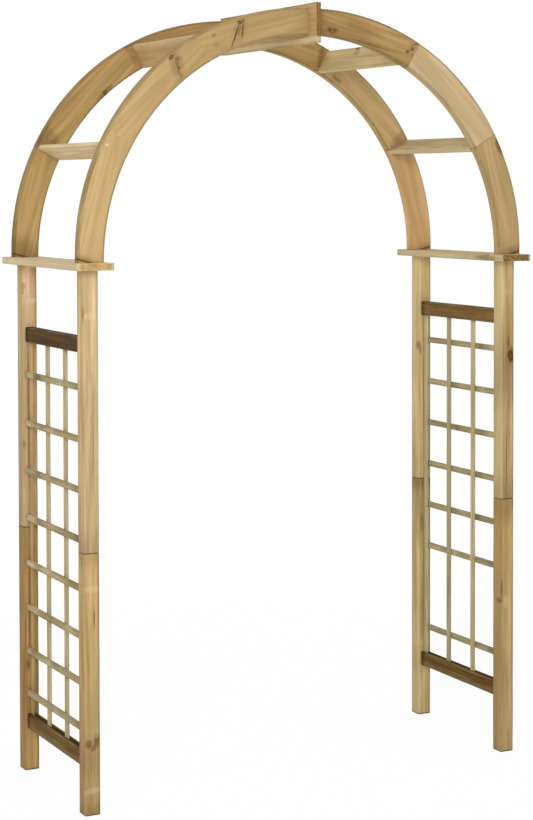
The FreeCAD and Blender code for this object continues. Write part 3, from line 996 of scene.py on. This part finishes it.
# Finish by kind of piece, where it isn't the plain one of pine()
FINISH = {
    "post": {"stain": 0.4, "green": 0.6, "figure": 1.35},
    "cap": {"stain": 0.1, "edges": 0.3},
    "ring": {"rings": 0.2, "figure": 0.75},
    "rung": {"stain": 0.7, "edges": 0.3},
    "rail": {"stain": 0.6, "green": 0.2, "rings": 0.8, "figure": 2.0},
    "upright": {"edges": 0.4, "figure": 1.4},
    "cross_lath": {"stain": 0.6, "green": 0.7, "edges": 0.6, "figure": 1.8},
}
RING_STAIN = {"front_left": 0.0, "rear_left": 0.08, "front_right": 0.25, "rear_right": 0.25}
RING_FINISH = {
    "front_right_crown": {"figure": 1.6},
    "rear_right_foot": {"figure": 0.5, "edges": 0.35},
    "rear_left_shoulder": {"figure": 1.2},
}


# Pieces
def posts():
    """The two lengths of each post. The lower ones have a line of painted shade at the ground."""
    for key, (tone, *shades) in POST_TONES.items():
        node = f"post_{key}"
        length = size_of(node, "z")
        spots = list(SPOTS[node])
        if key.endswith("lower"):
            spots.append(shading(-length / 2, 0.0, POST_FOOT_LINE, 4 * POST_HALF, FOOT_LINE_DEPTH))
        material = pine(node, tone, shades, spots, length, **FINISH["post"])
        board(node, (Z, X, Y), POST_RADIUS, material, clean_corner=FRONT_LEFT_CORNER)


def caps():
    """The boards on top of the posts, with rounded corners."""
    for side, (tone, shade) in CAP_TONES.items():
        node = f"cap_{side}"
        material = pine(node, tone, (shade, shade), SPOTS[node], sawn_end=CAP_ENDS[side], **FINISH["cap"])
        board(node, (Y, X, Z), CAP_RADIUS, material, corner=CAP_CORNER)


def rings():
    """The two rings, each of six curved boards."""
    first, second = RING_JOINTS
    reaches = {"foot": (0.0, first), "shoulder": (first, second), "crown": (second, None)}
    for key, (tone, *shades) in RING_TONES.items():
        node = f"ring_{key}"
        quarter, part = key.rsplit("_", 1)
        finish = {**FINISH["ring"], "stain": RING_STAIN[quarter], **RING_FINISH.get(key, {})}
        material = pine(node, tone, shades, SPOTS.get(node, ()), SEGMENT_LENGTH, **finish)
        ring_segment(node, *reaches[part], material)


def rungs():
    """The boards between the rings."""
    for key, (tone, shade) in RUNG_TONES.items():
        node = f"rung_{key}"
        material = pine(node, tone, (shade, shade), SPOTS.get(node, ()), **FINISH["rung"])
        board(node, rung_axes(node), RUNG_RADIUS, material)


def ridge():
    """The board on edge between the crowns of the rings."""
    tone, shade = RIDGE_TONE
    node = "ridge_board"
    material = pine(node, tone, (shade, shade), SPOTS[node], sawn_end=RIDGE_END)
    board(node, (Y, Z, X), RIDGE_RADIUS, material)


def rails():
    """The grooved rails of the trellis, dark at their far ends. The grooves face the laths."""
    for key, (tone, shade) in RAIL_TONES.items():
        node = f"rail_{key}"
        up = 1 if key.endswith("bottom") else -1
        spots = [RAIL_DARK_END]
        if up > 0:
            spots.append(RAIL_PALE_EDGE)
        material = pine(node, tone, (shade, shade), spots, **FINISH["rail"])
        board(node, (Y, X, Z * up), RAIL_RADIUS, material, groove=RAIL_GROOVE)


def lath_shade(node, shades):
    """Shade of a lath by its side of the arch, varied a little by chance."""
    side = "right" if "right" in node else "left"
    return shades[side] * random.Random(node + " shade").uniform(*LATH_RANGE)


def nodes_of(start):
    """Nodes of the frame that begin with a word, in order."""
    return sorted(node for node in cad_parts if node.startswith(start))


def laths():
    """The cross laths and the uprights of the trellis."""
    for node in nodes_of("cross_lath_"):
        shade = lath_shade(node, CROSS_SHADES)
        spots = lath_patches(node, size_of(node, "y"))
        material = pine(node, "slat", (shade, shade), spots, **FINISH["cross_lath"])
        board(node, (Y, Z, X), LATH_RADIUS, material)
    for node in nodes_of("upright_"):
        shade = lath_shade(node, UPRIGHT_SHADES)
        tone, *shades = UPRIGHT_TONES.get(node, ("lath", shade, shade))
        material = pine(node, tone, shades, length=size_of(node, "z"), **FINISH["upright"])
        board(node, (Z, Y, X), LATH_RADIUS, material)


def nail_head(centre, outward):
    """Points of a domed head, from its base to its top."""
    points = []
    for ring in range(NAIL_RINGS + 1):
        rise = math.pi / 2 * ring / NAIL_RINGS
        reach = NAIL_RADIUS * math.cos(rise * NAIL_DOME)
        for i in range(NAIL_SIDES):
            turn = 2 * math.pi * i / NAIL_SIDES
            points.append(centre + Vector((outward * NAIL_HEIGHT * math.sin(rise),
                                           reach * math.cos(turn), reach * math.sin(turn))))
    return points


def nails(side, material):
    """Small domed nail heads on cross laths, one over each upright."""
    outward = 1 if side == "right" else -1
    points, faces = [], []
    for lath in nodes_of(f"cross_lath_{side}"):
        low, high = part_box(lath)
        face_x = (high.x if outward > 0 else low.x) - outward * (SKIN_GAP + WAVE_DEPTH)
        for upright in nodes_of(f"upright_{side}"):
            centre = Vector((face_x, sum(c.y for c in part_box(upright)) / 2, (low.z + high.z) / 2))
            faces += tube_faces(NAIL_RINGS + 1, NAIL_SIDES, len(points))
            points += nail_head(centre, outward)
    mesh = bpy.data.meshes.new(f"lath_nails_{side}")
    mesh.from_pydata(points, [], faces)
    finish_mesh(mesh, NAIL_SHARP)
    obj = new_object(mesh.name, mesh)
    obj.data.materials.append(material)
    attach(obj, "root")


def joinery():
    """The hidden joinery keeps its solids. Only the ends of the pegs show, flush with the rings."""
    hidden = peg_wood("joinery_wood", HIDDEN_WOOD)
    shown = peg_wood("peg_wood", PEG_WOOD, FRESH_PEG)
    for node in ("post_dowels", "arch_tongues", "rail_tongues", "rung_pegs"):
        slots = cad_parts[node].data.materials
        slots.clear()
        slots.append(shown if node == "rung_pegs" else hidden)


# Surroundings
def shown_directly(g):
    """1 for rays that show the background itself: from the camera, a gloss or a clear body."""
    path = g.node("ShaderNodeLightPath").outputs
    seen = g.calc("MAXIMUM", path["Is Camera Ray"], path["Is Glossy Ray"])
    return g.calc("MAXIMUM", seen, path["Is Transmission Ray"])


def surroundings():
    """White surroundings and the lamp."""
    world = bpy.data.worlds.new("studio")
    bpy.context.scene.world = world
    world.use_nodes = True
    g = Graph(world.node_tree)
    background = world.node_tree.nodes["Background"]
    background.inputs["Color"].default_value = WHITE
    strength = g.line(shown_directly(g), 1.0 - AMBIENT, AMBIENT)
    g.feed(background.inputs["Strength"], strength)

    light = bpy.data.lights.new("soft_lamp", "AREA")
    light.shape = "DISK"
    light.size = LAMP_SIZE
    light.energy = LAMP_POWER
    lamp = new_object("soft_lamp", light)
    lamp.location = LAMP_PLACE
    lamp.rotation_euler = (LAMP_TARGET - LAMP_PLACE).to_track_quat("-Z", "Y").to_euler()


def floor():
    """A pale round floor that fades into the white surroundings and keeps a soft shadow."""
    mesh = bpy.data.meshes.new("floor")
    work = bmesh.new()
    bmesh.ops.create_circle(work, cap_ends=True, segments=FLOOR_SIDES, radius=FLOOR_RADIUS)
    work.to_mesh(mesh)
    work.free()
    obj = new_object("floor", mesh)
    material, g, shader = new_material("pale_floor")
    g.tree.nodes.remove(shader)
    place = g.node("ShaderNodeTexCoord").outputs["Object"]
    far = g.step(g.vector("LENGTH", place, output="Value"), FLOOR_FADE, FLOOR_RADIUS)
    grit = g.noise(place, FLOOR_GRIT, detail=4.0)
    matt = g.node("ShaderNodeBsdfDiffuse", Color=g.mix(grit, *map(colour, FLOOR_TONES)))
    white = g.node("ShaderNodeEmission", Color=WHITE, Strength=1.0)
    share = g.line(far, 1.0 - FLOOR_SHOWN_LIGHT, FLOOR_SHOWN_LIGHT)
    share = g.product(share, shown_directly(g))
    both = g.node("ShaderNodeMixShader")
    g.feed_all(both.inputs, (share, matt.outputs[0], white.outputs[0]))
    g.feed(g.tree.nodes["Material Output"].inputs["Surface"], both.outputs[0])
    obj.data.materials.append(material)


def camera():
    """The camera, as fitted to the photograph."""
    data = bpy.data.cameras.new("camera")
    data.sensor_width = SENSOR_MM
    data.lens = FOCAL_PIXELS * SENSOR_MM / IMAGE_HEIGHT
    data.shift_y = (LENS_AXIS_ROW - IMAGE_HEIGHT / 2) / IMAGE_HEIGHT
    data.clip_end = CAMERA_REACH
    obj = new_object("camera", data)
    obj.location = CAMERA_PLACE
    obj.rotation_euler = (math.pi / 2 + CAMERA_PITCH, -CAMERA_ROLL, -CAMERA_YAW)
    bpy.context.scene.camera = obj


posts()
caps()
rings()
rungs()
ridge()
rails()
laths()
joinery()
steel = nail_steel()
nails("left", steel)
nails("right", steel)
surroundings()
floor()
camera()
bpy.context.scene.view_settings.view_transform = "Standard"
